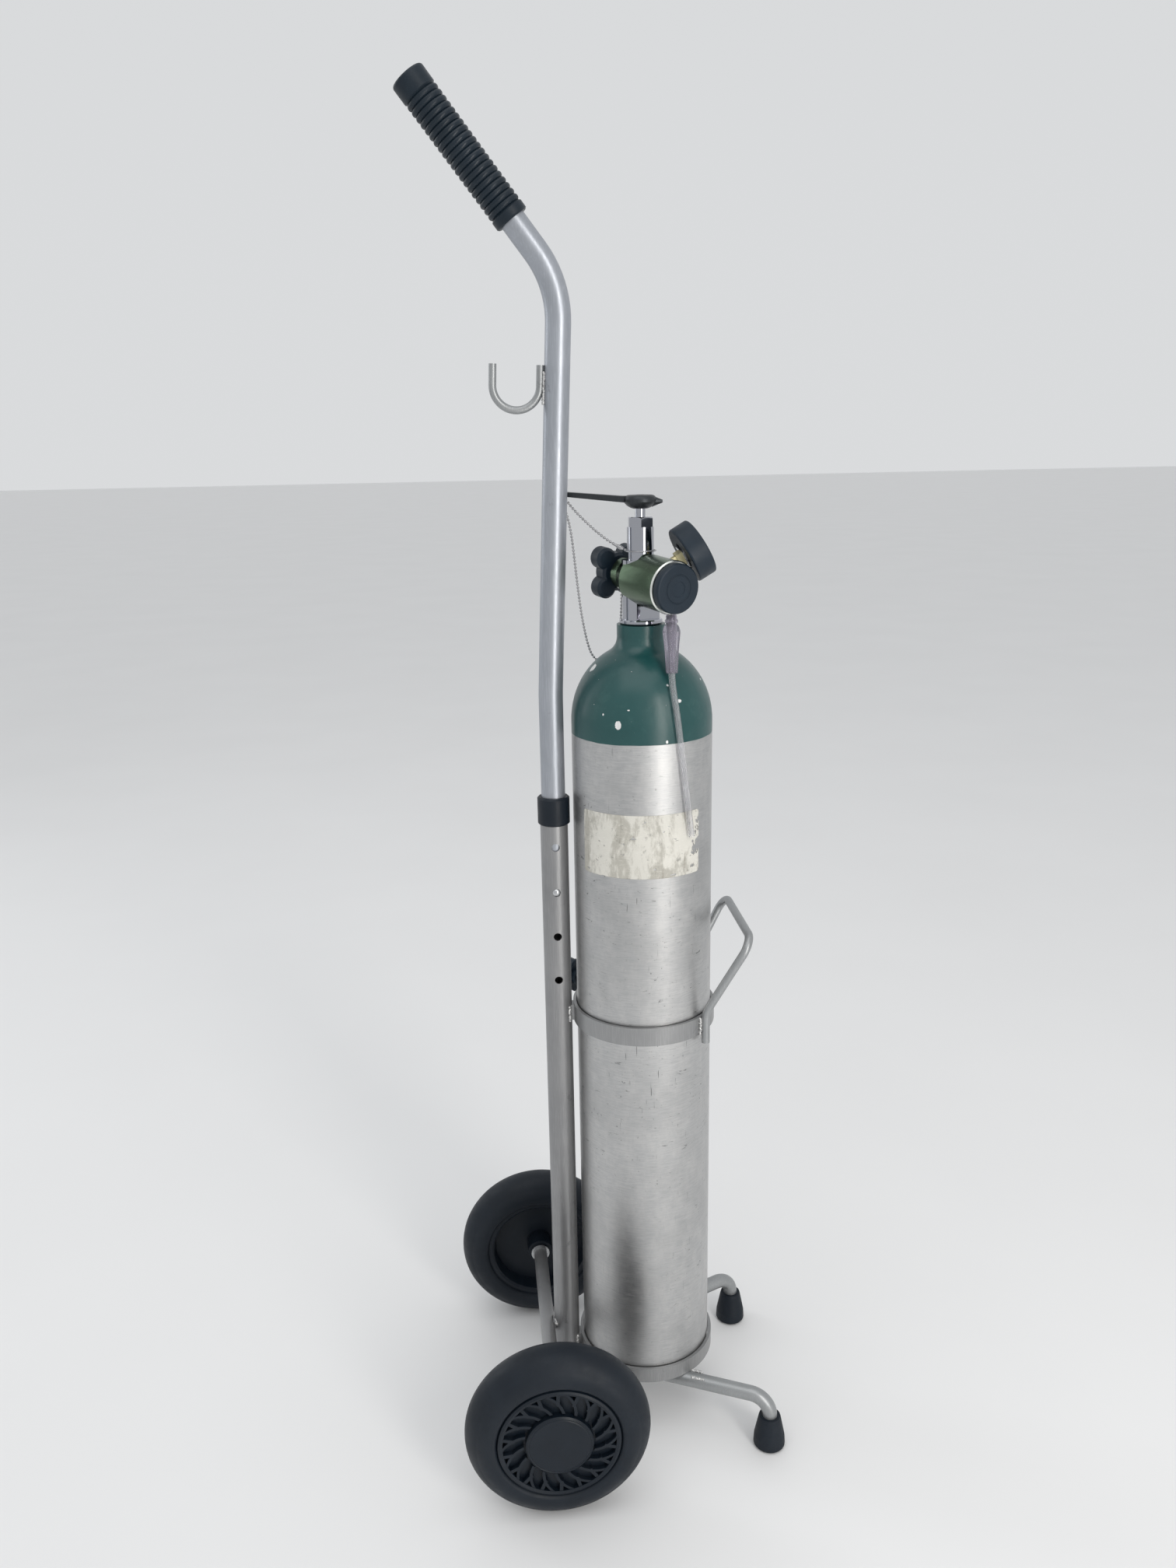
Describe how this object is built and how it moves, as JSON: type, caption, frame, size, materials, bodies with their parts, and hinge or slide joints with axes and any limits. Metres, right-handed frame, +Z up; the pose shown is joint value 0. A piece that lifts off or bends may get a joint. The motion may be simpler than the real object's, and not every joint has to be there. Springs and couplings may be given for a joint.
{
  "type": "oxygen cylinder on a wheeled cart",
  "caption": "Tall aluminium gas cylinder with green shoulder, post valve, toggle wrench and yoke regulator, standing on a two-wheeled cart with a telescoping handle.",
  "frame": {"origin": "on the floor, below the middle of the whole object's bounding box; the cylinder's axis stands 29.6 mm in front of it", "axes": "+Z up; +X forwards, from the handle and wheels towards the two rubber feet; +Y to the left"},
  "size_m": [0.2776, 0.2888, 1.0895],
  "materials": {
    "tube_grey": "worn silver-grey enamel",
    "band_grey": "worn silver-grey enamel with weld beads",
    "axle_steel": "zinc-plated, satin",
    "bush_plastic": "natural nylon",
    "collar_black": "moulded black",
    "grip_black": "ribbed foam rubber, satin",
    "foot_rubber": "dusty black rubber",
    "tyre_rubber": "smooth black, slightly dusty",
    "hub_plastic": "moulded black with swirl ribs",
    "button_steel": "polished",
    "spring_steel": "spring temper",
    "screw_steel": "plated, satin",
    "knob_black": "moulded black",
    "cylinder_skin": "brushed silver below a green painted shoulder",
    "label_paper": "cream sticker, worn",
    "seal_rubber": "black",
    "valve_chrome": "polished plating",
    "brass_part": "machined",
    "wrench_black": "black coated casting",
    "regulator_green": "olive-green anodised, machined",
    "bright_aluminium": "machined rim",
    "gauge_black": "smooth black boot",
    "gauge_steel": "satin",
    "dial_white": "matt white with plain tick marks",
    "pointer_black": "matt",
    "lens_clear": "clear",
    "clear_vinyl": "clear, slightly purple where thick",
    "chain_plated": "small plated beads"
  },
  "bodies": {
    "cart": {"lower_tube": "tube_grey", "tube_collar": "collar_black", "axle_tube": "tube_grey", "axle_rod": "axle_steel", "axle_bushes": "bush_plastic", "axle_washers": "axle_steel", "push_nuts": "axle_steel", "retaining_band": "band_grey", "base_ring": "band_grey", "ring_welds": "band_grey", "front_leg_left": "tube_grey", "front_leg_right": "tube_grey", "foot_left": "foot_rubber", "foot_right": "foot_rubber", "lift_handle": "band_grey", "clamp_boss": "band_grey"},
    "handle": {"upper_tube": "tube_grey", "hand_grip": "grip_black", "hang_hook": "tube_grey", "button_spring": "spring_steel"},
    "button": {"snap_button": "button_steel"},
    "wheel_left": {"tyre_left": "tyre_rubber", "wheel_hub_left": "hub_plastic", "hub_cap_left": "hub_plastic"},
    "wheel_right": {"tyre_right": "tyre_rubber", "wheel_hub_right": "hub_plastic", "hub_cap_right": "hub_plastic"},
    "band_clamp": {"clamp_screw": "screw_steel", "clamp_knob": "knob_black"},
    "cylinder": {"gas_cylinder": "cylinder_skin", "cylinder_label": "label_paper", "neck_seal": "seal_rubber", "valve_body": "valve_chrome", "gland_nut": "valve_chrome", "safety_plug": "brass_part", "regulator_body": "regulator_green", "front_cap": "bright_aluminium", "inlet_nipple": "brass_part", "seal_washer": "seal_rubber", "index_pins": "screw_steel", "outlet_barb": "brass_part", "gauge_stem": "brass_part", "gauge_case": "gauge_steel", "gauge_boot": "gauge_black", "gauge_dial": "dial_white", "gauge_lens": "lens_clear", "tube_connector": "clear_vinyl", "oxygen_tube": "clear_vinyl", "wrench_chain_short": "chain_plated", "wrench_chain_long": "chain_plated", "piston_spring": "spring_steel"},
    "wrench": {"valve_stem": "valve_chrome", "toggle_wrench": "wrench_black"},
    "plug": {"valve_plug": "brass_part"},
    "yoke_clamp": {"yoke_screw": "screw_steel", "star_knob": "knob_black"},
    "flow_control": {"flow_knob": "knob_black", "orifice_disc": "brass_part"},
    "pointer": {"gauge_pointer": "pointer_black"},
    "piston": {"regulator_piston": "brass_part"}
  },
  "joints": [
    {"name": "handle_slide", "type": "slide", "parent": "cart", "child": "handle", "axis": [0, 0, 1], "range_m": [-0.0762, 0.0381], "deforming": ["snap_button"]},
    {"name": "button_press", "type": "slide", "parent": "handle", "child": "button", "axis": [0, 1, 0], "range_m": [0, 0.0045], "stiffness_N_per_m": 800, "springref_m": -0.003, "deforming": ["button_spring"]},
    {"name": "wheel_left_spin", "type": "hinge", "parent": "cart", "child": "wheel_left", "pos_m": [-0.05934, 0.1234, 0.075], "axis": [0, 1, 0], "continuous": true},
    {"name": "wheel_right_spin", "type": "hinge", "parent": "cart", "child": "wheel_right", "pos_m": [-0.05934, -0.1234, 0.075], "axis": [0, 1, 0], "continuous": true},
    {"name": "band_clamp_turn", "type": "hinge", "parent": "cart", "child": "band_clamp", "pos_m": [-0.0178, 0.06447, 0.38065], "axis": [-0.592, 0.8059, 0], "range_deg": [0, 720]},
    {"name": "cylinder_lift", "type": "slide", "parent": "cart", "child": "cylinder", "axis": [0, 0, 1], "range_m": [0, 0.075]},
    {"name": "wrench_turn", "type": "hinge", "parent": "cylinder", "child": "wrench", "pos_m": [0.02956, 0, 0.795], "axis": [0, 0, 1], "range_deg": [-110, 0], "deforming": ["wrench_chain_short", "wrench_chain_long"]},
    {"name": "plug_travel", "type": "slide", "parent": "wrench", "child": "plug", "axis": [0, 0, 1], "range_m": [-0.0006, 0]},
    {"name": "yoke_clamp_turn", "type": "hinge", "parent": "cylinder", "child": "yoke_clamp", "pos_m": [0.00991, 0.04029, 0.74162], "axis": [-0.4367, 0.8954, 0.0872], "range_deg": [0, 720]},
    {"name": "flow_select", "type": "hinge", "parent": "cylinder", "child": "flow_control", "pos_m": [0.04921, -0.04029, 0.73378], "axis": [0.4367, -0.8954, -0.0872], "range_deg": [0, 330]},
    {"name": "pointer_sweep", "type": "hinge", "parent": "cylinder", "child": "pointer", "pos_m": [0.06615, -0.02174, 0.75947], "axis": [0.8623, 0.0695, 0.5015], "range_deg": [-270, 0], "stiffness_Nm_per_rad": 0.0002, "springref_deg": 22.92},
    {"name": "piston_travel", "type": "slide", "parent": "cylinder", "child": "piston", "axis": [-0.4367, 0.8954, 0.0872], "range_m": [0, 0.0008], "stiffness_N_per_m": 500, "springref_m": -0.004, "deforming": ["piston_spring"]}
  ],
  "couplings": [
    {"joint": "plug_travel", "follows": "wrench_turn", "m_per_rad": 0.00028}
  ]
}
